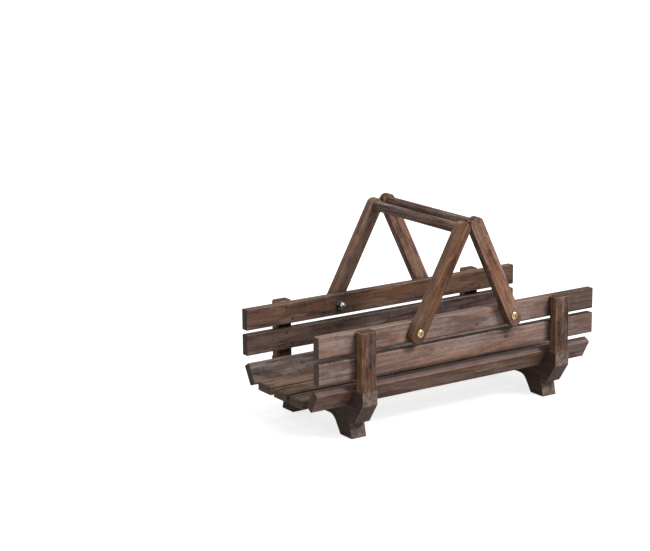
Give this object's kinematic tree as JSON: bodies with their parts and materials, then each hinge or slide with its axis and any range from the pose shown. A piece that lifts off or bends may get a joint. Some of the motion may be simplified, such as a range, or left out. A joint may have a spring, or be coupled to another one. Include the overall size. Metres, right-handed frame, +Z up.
{
  "type": "garden trug basket",
  "caption": "Slatted wooden garden trug on footed cross bearers, with corner posts and swinging dowel-grip handles on bolted pivots.",
  "frame": {"origin": "on the ground plane, in the middle of the basket's length and width", "axes": "+X along the slats towards the right end, +Y across the basket towards the far side, +Z up"},
  "size_m": [0.38, 0.181, 0.2278],
  "materials": {
    "side_wood": "dark stained open-grain softwood, matt, worn light on the edges",
    "corner_wood": "dark stained open-grain softwood, matt, worn light on the edges",
    "floor_wood": "dark stained open-grain softwood, matt, worn light on the edges",
    "bearer_wood": "dark stained open-grain softwood, matt, worn light on the edges",
    "post_wood": "dark stained open-grain softwood, matt, worn light on the edges",
    "arm_wood": "reddish brown stained softwood, matt",
    "grip_wood": "grey brown stained dowel, matt",
    "dowel_wood": "plain beech dowel, unfinished",
    "brass": "yellow plated, dull satin",
    "plated_steel": "bright zinc plated",
    "nail_steel": "dull dark steel"
  },
  "bodies": {
    "basket": {"near_top_slat": "side_wood", "near_lower_slat": "side_wood", "near_corner_slat": "corner_wood", "far_top_slat": "side_wood", "far_lower_slat": "side_wood", "far_corner_slat": "corner_wood", "near_floor_slat": "floor_wood", "middle_floor_slat": "floor_wood", "far_floor_slat": "floor_wood", "left_bearer": "bearer_wood", "right_bearer": "bearer_wood", "near_left_post": "post_wood", "near_right_post": "post_wood", "far_left_post": "post_wood", "far_right_post": "post_wood", "near_left_bolt": "brass", "near_right_bolt": "brass", "far_left_bolt": "brass", "far_right_bolt": "brass", "near_left_washer": "plated_steel", "near_right_washer": "plated_steel", "far_left_washer": "plated_steel", "far_right_washer": "plated_steel", "near_left_nut": "plated_steel", "near_right_nut": "plated_steel", "far_left_nut": "plated_steel", "far_right_nut": "plated_steel", "side_slat_nails": "nail_steel", "corner_slat_nails": "nail_steel", "floor_slat_nails": "nail_steel", "post_dowels": "dowel_wood"},
    "left_handle": {"left_handle_near_arm": "arm_wood", "left_handle_far_arm": "arm_wood", "left_handle_grip": "grip_wood"},
    "right_handle": {"right_handle_near_arm": "arm_wood", "right_handle_far_arm": "arm_wood", "right_handle_grip": "grip_wood"}
  },
  "joints": [
    {"name": "left_handle_swing", "type": "hinge", "parent": "basket", "child": "left_handle", "pos_m": [-0.065, 0, 0.10948], "axis": [0, -1, 0], "range_deg": [0, 98.3]},
    {"name": "right_handle_swing", "type": "hinge", "parent": "basket", "child": "right_handle", "pos_m": [0.065, 0, 0.10948], "axis": [0, 1, 0], "range_deg": [0, 95.1]}
  ]
}
